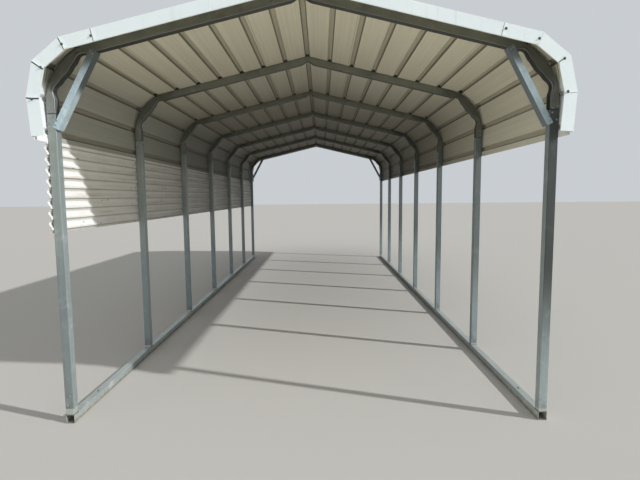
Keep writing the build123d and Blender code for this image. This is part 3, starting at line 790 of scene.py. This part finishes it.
def coated(name):
    """White paint outside with dust and rain marks, beige backing coat inside with painted light
    and shade.
    """
    coat = Finish(name)
    x, y, z = coat.coordinates()
    outside = coat.outward() > 0.0
    run = 0.0
    for (a, pa), (b, pb) in zip(folds, folds[1:]):
        along = (pb - pa).normalized()
        gone = (abs(x) - pa.x) * along.x + (z - pa.y) * along.y
        run = gone.most(0.0).least(b - a) + run
    across = off_nearest(run, RIB_PITCH)
    rib = abs(across)
    # painted shade in the rib hollows, and a darker line of it along one wall of each
    rib_shade = 1 - rib.ramp(0.018, 0.026)
    wall = across.band(0.012, 0.018, 0.024, 0.028)
    foot = rib.band(0.022, 0.027, 0.027, 0.048)
    lapped = (abs(run - 2 * RIB_PITCH) < 0.08).most(abs(run - 6 * RIB_PITCH) < 0.08)
    edge = (abs(across + 0.0370) < 0.0016) * lapped
    bow = abs(off_nearest(y, FRAME_SPACING))
    # painted shadow along the bows, and a near-black one over the rib hollows where they cross a
    # bow
    bow_contact_shadow = bow.band(0.030, 0.033, 0.036, 0.046)
    shadow_over_bow = rib_shade * (1 - bow.ramp(0.036, 0.043))
    wrapped = run.ramp(7.2 * RIB_PITCH, 7.8 * RIB_PITCH)
    # painted sunlight: near-white coat on the low ends of the sheets
    sunlit_end_strip = (abs(y) > 4.545) * (1 - z.ramp(2.42, 2.50))
    # painted shade on the left eave
    left_eave_shade = (x < 0.0) * run.ramp(6.4 * RIB_PITCH, 8.4 * RIB_PITCH)
    rolled = coat.noise((70, 0.35, 70), 2.0, (1.0, 0.0, 4.0))
    patch = coat.noise((2.2, 1.1, 2.2), 4.0, (5.0, 1.0, 0.0))
    stain = coat.noise((7, 3.2, 7), 5.0, (2.0, 8.0, 3.0), 0.65).ramp(0.60, 0.80)
    tone = (rolled - 0.5) * 1.1 + (patch - 0.5) * 0.6 + 0.5
    backing = coat.over(
        coat.tones(tone, (224, 221, 207), (247, 244, 232)),
        (stain * 0.16, (160, 152, 134)),
        # painted shade: the coat darker towards the back and on the left
        (y.ramp(-3.5, -0.4) * 0.52, (122, 113, 94)),
        ((1 - x.ramp(-1.2, 0.3)) * 0.13, (104, 100, 88)),
        (left_eave_shade * 0.58, (131, 138, 140)),
        (rib_shade * 0.42, (124, 116, 94)),
        (wall * 0.72, (72, 67, 53)),
        (edge * 0.60, (82, 78, 66)),
        (bow_contact_shadow * 0.72, (58, 54, 44)),
        (shadow_over_bow * (1 - wrapped * 0.6) * 0.95, (18, 17, 14)),
        (sunlit_end_strip * 0.95, (250, 252, 254)))
    rain = coat.noise((3.0, 46, 3.0), 3.0, (0.0, 2.0, 1.0)).ramp(0.50, 0.80)
    dust = coat.noise((4, 2.5, 4), 4.0, (4.0, 6.0, 2.0)).ramp(0.45, 0.85)
    speck = 1 - coat.cells((23, 17, 23)).ramp(0.03, 0.09)
    top = coat.over(
        coat.tones(dust * 0.35 + rain * 0.22 + foot * 0.3, (231, 234, 232), (186, 182, 170)),
        (speck * 0.5, (120, 112, 98)))
    roughness = 0.58 - outside * 0.16 + patch * 0.1
    height = patch * 0.5 + rolled * 0.5
    return coat.skin(coat.blend(outside, backing, top), roughness, 0.0, height, 0.0012, 0.3)


sheet_coat = coated("sheet_coat")
ROOF_PARTS = ("eave_left", "slope_left", "ridge", "slope_right", "eave_right")
dress([f"roof_{part}" for part in ROOF_PARTS], sheet_coat)

RIB_HEIGHT = 0.019
RIBS = 10
INNER_LAP, OUTER_LAP = 2, 6
SHEET = 0.0005
LAP_LIFT = 0.0008
BESIDE_RIB = 0.050
STITCHES, STITCH_PITCH = 14, 0.66


def on_roof(run, y, lift):
    """Place and direction of a screw on the roof, lifted off the sheets' inner face."""
    point, out = sheet_line(run)
    point = point + out * lift
    return Vector((point.x, y, point.y)), Vector((out.x, 0, out.y))


spots = []
for y in FRAME_Y:
    at_end = abs(y) > abs(FRAME_Y[1]) + 0.1
    for k in range(-RIBS, RIBS):
        for shift in (BESIDE_RIB, RIB_PITCH - BESIDE_RIB) if at_end else (BESIDE_RIB,):
            spots.append(on_roof(k * RIB_PITCH + shift, y + dice.uniform(-0.008, 0.008), SHEET))
fix_screws("roof_screws", spots, washer_radius=0.0075, washer_height=0.0024,
           sealed=True)
spots = []
for k in (-OUTER_LAP, -INNER_LAP, INNER_LAP, OUTER_LAP):
    for j in range(STITCHES):
        y = (j - (STITCHES - 1) / 2) * STITCH_PITCH + dice.uniform(-0.02, 0.02)
        spots.append(on_roof(k * RIB_PITCH, y, RIB_HEIGHT + SHEET + LAP_LIFT))
fix_screws("stitch_screws", spots, width=0.0064, washer_radius=0.0065,
           washer_height=0.0022, sealed=True)

# End trim: white folded steel over the ends of the sheets, in three pieces an end. The face is
# snipped at each fold and lapped over itself there, and a sealed screw pins the lap.
TRIM_FACE = 0.086
TRIM = 0.0006
TRIM_GAP = 0.0002
TRIM_SHORT = 0.022  # how far above the sheets' edge the trim ends
TRIM_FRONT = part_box("trim_front_ridge")[0].y
TRIM_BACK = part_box("trim_back_ridge")[1].y
PLAIN_TOP = RIB_HEIGHT + SHEET + TRIM_GAP + TRIM
LAP_TOP = PLAIN_TOP + LAP_LIFT


def trimmed(name):
    """Clean white paint with a little grime in streaks; the dark lines at its folds are painted
    shadow.
    """
    white = Finish(name)
    cloud = white.noise((3, 8, 3), 4.0)
    streak = white.noise((34, 34, 2.4), 3.0, (2.0, 0.0, 5.0)).ramp(0.55, 0.80)
    speck = 1 - white.cells((31, 31, 31)).ramp(0.02, 0.07)
    colour = white.over(
        white.tones(cloud, (219, 232, 237), (238, 246, 249)),
        (streak * 0.18, (176, 174, 164)),
        (speck * 0.35, (130, 124, 112)))
    return white.skin(colour, cloud * 0.12 + 0.34, 0.0, cloud, 0.0015, 0.25)


trim_paint = trimmed("trim_paint")
dress([f"trim_{end}_{part}" for end in ("front", "back") for part in ("left", "ridge", "right")],
      trim_paint)


def beside(line, gap):
    """Mitred copy of a line of points, at a distance to the left of its direction."""
    sides = [Vector((a.y - b.y, b.x - a.x)).normalized() for a, b in zip(line, line[1:])]
    sides = [sides[0]] + sides + [sides[-1]]
    return [p + (a + b) * (2 * gap / (a + b).length_squared)
            for p, a, b in zip(line, sides, sides[1:])]


# the outer edge of the trim's face, from the ridge to its right end; the ridge piece goes
# over the others as far as the lap
marks = [0.0, OUTER_LAP * RIB_PITCH] + [run for run, _ in folds[1:-1]] + [REACH - TRIM_SHORT]
under_trim = [sheet_line(-run)[0] for run in marks[:0:-1]] + [sheet_line(run)[0] for run in marks]
ridge = len(marks) - 1
trim_line = (beside(under_trim, LAP_TOP)[ridge:ridge + 2]
             + beside(under_trim, PLAIN_TOP)[ridge + 2:])


def inner_corner(i):
    """Inner end of the fold at a corner of the trim line."""
    before = (trim_line[i] - trim_line[i - 1]).normalized()
    after = (trim_line[i + 1] - trim_line[i]).normalized()
    a, b = Vector((before.y, -before.x)), Vector((after.y, -after.x))
    mitre = a + b
    return trim_line[i] + mitre * (2 * TRIM_FACE / mitre.length_squared)


# where each lapped snip runs, from 0 at the outer edge to 1 at the inner, which way its free
# edge looks (1 is down the leg), how far it gapes and how wide the painted shadow beside it is
SNIPS = {
    -1: ((0.02, 0.98, 1, 0.0014, 0.0045), (0.02, 0.98, 1, 0.0026, 0.0060),
         (0.02, 0.99, 1, 0.0030, 0.0085), (0.0, 0.99, 1, 0.0036, 0.0085)),
    1: ((0.04, 0.97, -1, 0.0018, 0.0022), (0.05, 0.97, 1, 0.0010, 0.0012),
        (0.42, 0.99, -1, 0.0030, 0.0050), (0.04, 0.97, 1, 0.0014, 0.0018))}
# places of the screws that pin the laps: distance from the middle of the carport, and height
PINS = {-1: ((1.3746, 2.7339), (1.5691, 2.6820), (1.7173, 2.5351), (1.7898, 2.3309)),
        1: ((1.3436, 2.7533), (1.5645, 2.6882), (1.7333, 2.5600), (1.7655, 2.3486))}
SEAM_SLIP = 0.035
FLAP_ROOT, FLAP_BEND, FLAP_FREE = 0.022, 0.006, 0.004  # distances from the fold
# the strip of painted shadow beside each flap's free edge: how far from the fold it starts and
# ends, and how high it lies
SHADOW_NEAR, SHADOW_FAR = 0.001, 0.0042
SHADOW_LOW, SHADOW_HIGH = 0.0002, 0.0003
FLAP_STEPS = 8
# the corners of one section of a flap and of the strip of painted shadow beside it, and the number
# of their material
FLAP_LOOPS = (((0, 2, 4, 5, 3, 1), 0), ((6, 7, 8, 9), 1))
SECTION = 10
flap_corners, flap_faces, flap_kinds = [], [], []


def lay_flap(i, side, plane, outward):
    """The lapped snip at corner i of the trim line, with a dark strip of painted shadow beside its
    free edge.
    """
    start, stop, way, gape, shadow_width = SNIPS[side * -outward][i - 1]
    upper = (trim_line[i - 1] - trim_line[i]).normalized()
    lower = (trim_line[i + 1] - trim_line[i]).normalized()
    root, free = (upper, lower) if way > 0 else (lower, upper)
    first = len(flap_corners)
    for j in range(FLAP_STEPS + 1):
        t = start + (stop - start) * j / FLAP_STEPS
        fold = trim_line[i].lerp(inner_corner(i), t)
        if i == 1 and side * -outward < 0:
            fold = fold + lower * SEAM_SLIP
        wave = 0.0012 * math.sin(5.0 * t + i * 1.7 + side) if i > 1 else 0.0
        opened = gape * (0.7 + 0.6 * t)
        edge, fold_shadow = free * (FLAP_FREE + wave), free * (SHADOW_FAR + wave + shadow_width)
        for reach, lift in ((root * FLAP_ROOT, -0.0001), (root * FLAP_ROOT, 0.0002),
                            (root * FLAP_BEND, 0.3 * opened),
                            (root * FLAP_BEND, 0.3 * opened + TRIM),
                            (edge, opened), (edge, opened + TRIM),
                            (free * SHADOW_NEAR, SHADOW_LOW), (free * SHADOW_NEAR, SHADOW_HIGH),
                            (fold_shadow, SHADOW_HIGH), (fold_shadow, SHADOW_LOW)):
            spot = fold + reach
            flap_corners.append((side * spot.x, plane + outward * lift, spot.y))
    for loop, kind in FLAP_LOOPS:
        for j in range(FLAP_STEPS):
            a = first + SECTION * j
            for u, v in zip(loop, loop[1:] + loop[:1]):
                flap_faces.append((a + u, a + v, a + SECTION + v, a + SECTION + u))
                flap_kinds.append(kind)
        for a in (first, first + SECTION * FLAP_STEPS):
            flap_faces.append(tuple(a + u for u in loop))
            flap_kinds.append(kind)


spots = []
for plane, outward in ((TRIM_FRONT, -1), (TRIM_BACK, 1)):
    for side in (-1, 1):
        for i in range(1, 5):
            lay_flap(i, side, plane, outward)
            gape = SNIPS[side * -outward][i - 1][3]
            across, rise = PINS[side * -outward][i - 1]
            spots.append((Vector((side * across, plane + outward * (TRIM + gape), rise)),
                          Vector((0, outward, 0))))
mesh = bpy.data.meshes.new("trim_flaps")
mesh.from_pydata(flap_corners, [], flap_faces)
smoothed(mesh, 25)
mesh.materials.append(trim_paint)
# the flaps' second material is the dark strip of painted shadow
mesh.materials.append(mottled("trim_fold_shadow", 90, (32, 34, 34), (92, 94, 92), 0.8, 0.0, 0.0002, 0.3))
mesh.polygons.foreach_set("material_index", flap_kinds)
placed("trim_flaps", mesh)
weathered_head = mottled("weathered_head", 90, (70, 76, 80), (112, 118, 122), 0.5, 0.4, 0.0004)
fix_screws("trim_screws", spots, width=0.0095, washer_radius=0.0092,
           washer_height=0.0016, sealed=True, metal=weathered_head)
TOP_SCREW_IN = 0.034
spots = []
for plane, inward in ((TRIM_FRONT, 1), (TRIM_BACK, -1)):
    for k in (-6, -4, -2, 2, 4, 6):
        spots.append(on_roof(k * RIB_PITCH, plane + inward * TOP_SCREW_IN, LAP_TOP))
fix_screws("trim_top_screws", spots, washer_radius=0.0072, washer_height=0.0022,
           sealed=True)

# Side sheets: four corrugated sheets of white steel in a band along the outside of the left
# posts, lapped end to end and screwed through every other valley into each post.
SIDE_NAMES = [f"wall_sheet_left_{i}" for i in range(1, 5)]
WAVE_PITCH = 0.0762
WALL_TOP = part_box(SIDE_NAMES[0])[1].z
SHADED_FLANK_AT = -0.36  # where a flank's painted shade is darkest, in waves up from the sheets' upper edge
FIRST_VALLEY = 0.016  # below the sheets' upper edge
SIDE_FACE = OUTER_X + 0.0014
LAST_SCREW_Y = 4.6
wavy = Finish("side_coat")
y, z = wavy.coordinates()[1:]
cloud = wavy.noise((6, 2.0, 4.0), 5.0)
run_off = wavy.noise((4, 30, 2.2), 3.0, (1.0, 3.0, 0.0)).ramp(0.52, 0.80)
shelf = wavy.noise((5, 1.4, 40), 3.0, (0.0, 5.0, 2.0)).ramp(0.50, 0.75)
shelf = shelf * wavy.facing()[2].ramp(0.05, 0.6)
stain = wavy.noise((5, 1.1, 24), 4.0, (3.0, 2.0, 6.0), 0.6).ramp(0.50, 0.72)
wave = abs(((z - WALL_TOP) / WAVE_PITCH + 0.5 - SHADED_FLANK_AT) % 1.0 - 0.5)
flank_shade = 1 - wave.ramp(0.02, 0.09)
ends = [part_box(name)[1].y for name in SIDE_NAMES[:3]]
lap = sum((abs(y - end) < 0.004 for end in ends), 0.0)
speck = 1 - wavy.cells((13, 8, 13), (0.0, 3.0, 0.0)).ramp(0.05, 0.11)
colour = wavy.over(
    wavy.tones(cloud, (244, 244, 242), (252, 252, 250)),
    (run_off * 0.18, (164, 158, 144)),
    (shelf * 0.45, (150, 140, 120)),
    (stain * 0.30, (176, 161, 134)),
    # painted shade on the lower flank of each wave and round it
    ((1 - wave.ramp(0.05, 0.34)) * 0.17, (146, 139, 124)),
    (flank_shade * 0.60, (100, 97, 88)),
    (lap * 0.50, (92, 88, 78)),
    (speck * 0.85, (72, 66, 58)))
side_coat = wavy.skin(colour, cloud * 0.14 + 0.42, 0.0, cloud, 0.0014, 0.3)
dress(SIDE_NAMES, side_coat)
spots = []
for y in FRAME_Y:
    for n in (0, 2, 4, 6, 8):
        z = WALL_TOP - FIRST_VALLEY - WAVE_PITCH * n
        place = min(max(y, -LAST_SCREW_Y), LAST_SCREW_Y) + dice.uniform(-0.006, 0.006)
        spots.append((Vector((-SIDE_FACE, place, z)), Vector((-1, 0, 0))))
fix_screws("side_screws", spots, washer_radius=0.0075, washer_height=0.0024,
           sealed=True)

# Studio: a plain pale floor, which bounces warm light in front of the carport and less under
# it, a pale sky that is brighter in front, and one soft sun from the right and the front, with
# the camera where the photographer stood.
FLOOR_REACH, FLOOR_Z = 90.0, -0.001
floor_mesh = bpy.data.meshes.new("floor")
floor_mesh.from_pydata([(x * FLOOR_REACH, y * FLOOR_REACH, FLOOR_Z)
                        for x, y in ((-1, -1), (1, -1), (1, 1), (-1, 1))], [], [(0, 1, 2, 3)])
floor = in_scene("floor", floor_mesh)


def seen(board):
    """1 for what shows, straight, mirrored or through glass, and 0 for light that is bounced."""
    straight, mirrored, through = board.add("ShaderNodeLightPath", out=(
        "Is Camera Ray", "Is Glossy Ray", "Is Transmission Ray"))
    return straight.most(mirrored).most(through)


ground = Finish("floor_paint")
y = ground.coordinates()[1]
pale = ground.add("ShaderNodeBsdfDiffuse", None, {"Color": paint(200, 197, 191)})
under_roof = ground.tones(y.ramp(-6.0, -4.0), (150, 143, 126), (46, 41, 32))
bounce = ground.over(under_roof, (y.band(-10.0, -8.0, -4.7, -3.5), (254, 246, 222)))
dark = ground.add("ShaderNodeBsdfDiffuse", None, {"Color": bounce})
surface = ground.add("ShaderNodeMixShader", None, {0: seen(ground), 1: dark, 2: pale})
ground.add("ShaderNodeOutputMaterial", None, {"Surface": surface})
floor_mesh.materials.append(ground.material)

SKY_LIGHT, SKY_SHOWN = (0.97, 1.0, 1.03, 1), (0.58, 0.61, 0.64, 1)
world = bpy.data.worlds.new("studio")
world.use_nodes = True
world.node_tree.nodes.clear()
sky = Board(world.node_tree)
_, toward_back, toward_top = sky.split(sky.add("ShaderNodeTexCoord", out="Generated"))
front = (0.5 - toward_back * 0.5) ** 2.6
glow = front * 1.34 + toward_top.most(0.0) * 0.06 + 0.12
light = sky.blend(glow, (0, 0, 0, 1), SKY_LIGHT)
tone = sky.blend(seen(sky), light, SKY_SHOWN)
backdrop = sky.add("ShaderNodeBackground", None, {"Color": tone, "Strength": 1.0})
sky.add("ShaderNodeOutputWorld", None, {"Surface": backdrop})
bpy.context.scene.world = world

TOWARD_SUN = Vector((1.5, -0.52, 1.0))
sun_data = bpy.data.lights.new("sun", "SUN")
sun_data.energy = 2.62
sun_data.angle = math.radians(1.2)
sun = in_scene("sun", sun_data)
sun.rotation_euler = TOWARD_SUN.to_track_quat("Z", "Y").to_euler()

PHOTO_WIDTH = 640
FOCAL_PIXELS = 453.5
SENSOR = 36.0
CAMERA_X, CAMERA_Z = 0.127, 1.672
CAMERA_TO_FRAME = 3.267
lens = bpy.data.cameras.new("camera")
lens.sensor_width = SENSOR
lens.lens = FOCAL_PIXELS / PHOTO_WIDTH * SENSOR
lens.clip_end = 400.0
camera = in_scene("camera", lens)
pitch, yaw, roll = math.radians(5.5), math.radians(-0.2), math.radians(0.5)
ahead = Vector((math.cos(pitch) * math.sin(yaw), math.cos(pitch) * math.cos(yaw),
                -math.sin(pitch)))
level = Vector((math.cos(yaw), -math.sin(yaw), 0))
upright = Vector((math.sin(yaw) * math.sin(pitch), math.cos(yaw) * math.sin(pitch),
                  math.cos(pitch)))
right = level * math.cos(roll) - upright * math.sin(roll)
above = level * math.sin(roll) + upright * math.cos(roll)
camera.matrix_world = Matrix((
    (right.x, above.x, -ahead.x, CAMERA_X),
    (right.y, above.y, -ahead.y, FRAME_Y[0] - CAMERA_TO_FRAME),
    (right.z, above.z, -ahead.z, CAMERA_Z),
    (0, 0, 0, 1)))
bpy.context.scene.camera = camera
bpy.context.scene.view_settings.view_transform = "Standard"
